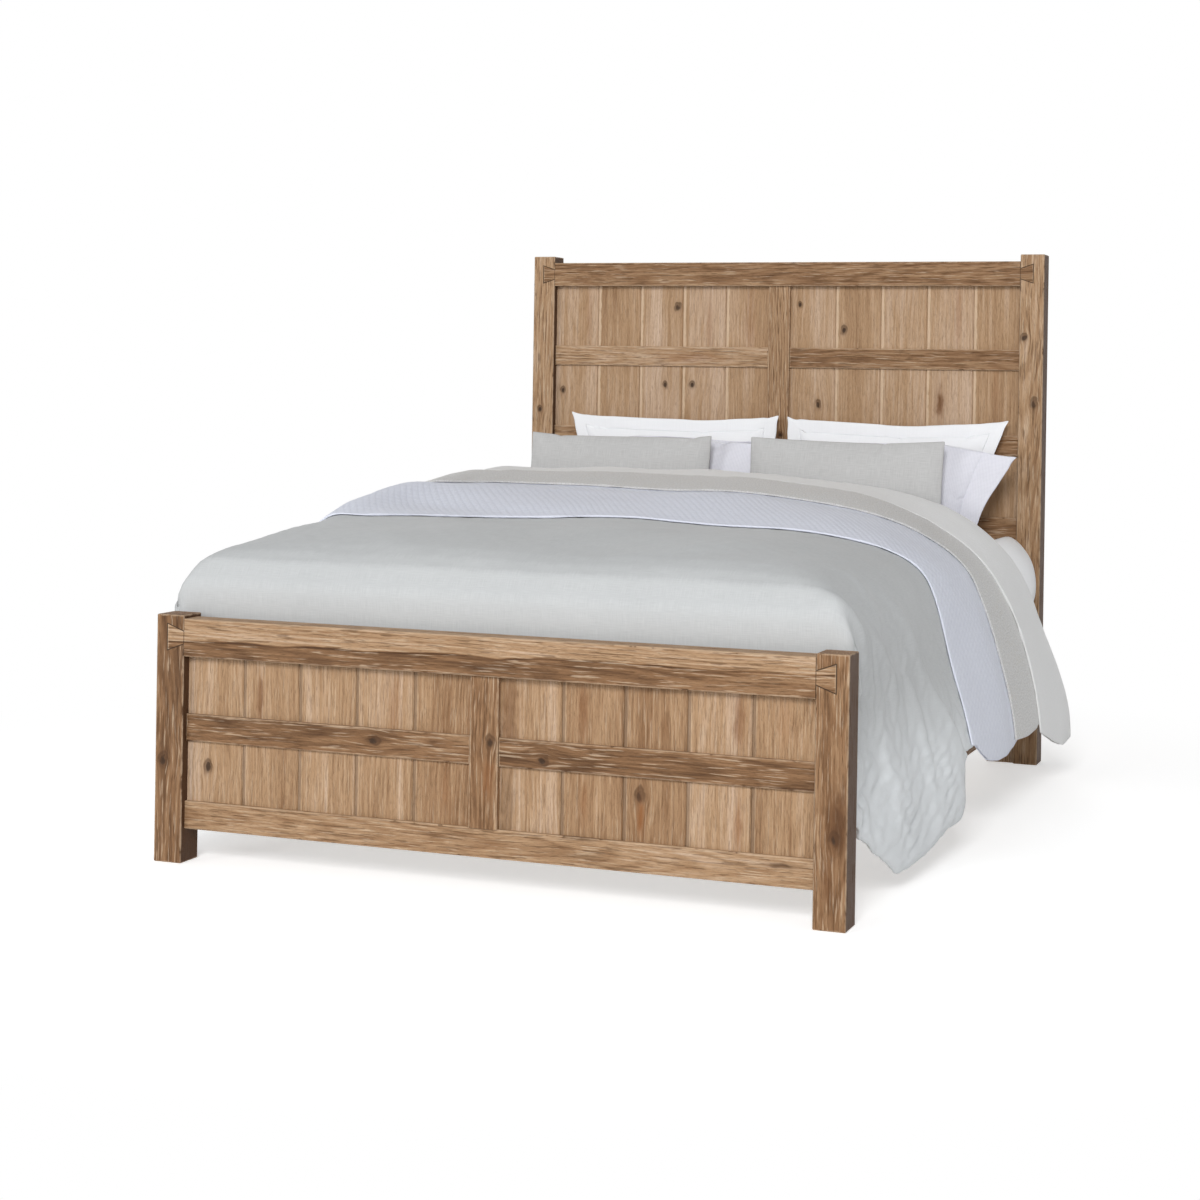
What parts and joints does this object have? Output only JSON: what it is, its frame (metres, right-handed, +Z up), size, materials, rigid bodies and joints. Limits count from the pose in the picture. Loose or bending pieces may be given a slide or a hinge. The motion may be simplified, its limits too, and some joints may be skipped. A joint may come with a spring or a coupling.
{
  "type": "board and batten bed",
  "caption": "Queen size board and batten bed in brushed oak, with dovetailed rails, hook-on side rails, mattress set, duvet, folded covers and pillows.",
  "frame": {"origin": "centre of the floor rectangle under the bed", "axes": "+Z up, +Y from the footboard to the headboard, +X to the right as seen from the foot"},
  "size_m": [1.9556, 2.24, 1.562],
  "materials": {
    "oak_frame": "satin",
    "oak_boards": "satin",
    "plain_wood": "matte",
    "steel": "satin",
    "ticking": "matte",
    "white_cotton": "matte",
    "grey_linen": "matte",
    "matelasse": "matte",
    "wool_blanket": "matte",
    "linen_pillow": "matte"
  },
  "bodies": {
    "bed": {"blanket": "wool_blanket", "box_spring": "ticking", "center_legs": "plain_wood", "coverlet": "matelasse", "duvet": "grey_linen", "foot_batten_left": "oak_frame", "foot_batten_right": "oak_frame", "foot_board_01": "oak_boards", "foot_board_02": "oak_boards", "foot_board_03": "oak_boards", "foot_board_04": "oak_boards", "foot_board_05": "oak_boards", "foot_board_06": "oak_boards", "foot_board_07": "oak_boards", "foot_board_08": "oak_boards", "foot_board_09": "oak_boards", "foot_board_10": "oak_boards", "foot_bottom_rail": "oak_frame", "foot_post_left": "oak_frame", "foot_post_right": "oak_frame", "foot_stile": "oak_frame", "foot_top_rail": "oak_frame", "head_board_01": "oak_boards", "head_board_02": "oak_boards", "head_board_03": "oak_boards", "head_board_04": "oak_boards", "head_board_05": "oak_boards", "head_board_06": "oak_boards", "head_board_07": "oak_boards", "head_board_08": "oak_boards", "head_board_09": "oak_boards", "head_board_10": "oak_boards", "head_bottom_rail": "oak_frame", "head_inner_legs": "oak_frame", "head_lower_batten_left": "oak_frame", "head_lower_batten_right": "oak_frame", "head_post_left": "oak_frame", "head_post_right": "oak_frame", "head_stile": "oak_frame", "head_top_rail": "oak_frame", "head_upper_batten_left": "oak_frame", "head_upper_batten_right": "oak_frame", "hook_pins": "steel", "mattress": "ticking", "pillow_back_left": "white_cotton", "pillow_back_right": "white_cotton", "pillow_front_left": "linen_pillow", "pillow_front_right": "linen_pillow", "pillow_middle_left": "matelasse", "pillow_middle_right": "matelasse", "rail_cleats": "plain_wood", "rail_hooks": "steel", "side_rail_left": "oak_frame", "side_rail_right": "oak_frame", "slats": "plain_wood", "top_sheet": "white_cotton", "wood_screws": "steel"},
    "leveller_1": {"leveller_1": "steel"},
    "leveller_2": {"leveller_2": "steel"},
    "leveller_3": {"leveller_3": "steel"}
  },
  "joints": [
    {"name": "leveller_1_screw", "type": "slide", "parent": "bed", "child": "leveller_1", "axis": [0, 0, 1], "range_m": [-0.01, 0.015]},
    {"name": "leveller_2_screw", "type": "slide", "parent": "bed", "child": "leveller_2", "axis": [0, 0, 1], "range_m": [-0.01, 0.015]},
    {"name": "leveller_3_screw", "type": "slide", "parent": "bed", "child": "leveller_3", "axis": [0, 0, 1], "range_m": [-0.01, 0.015]}
  ]
}
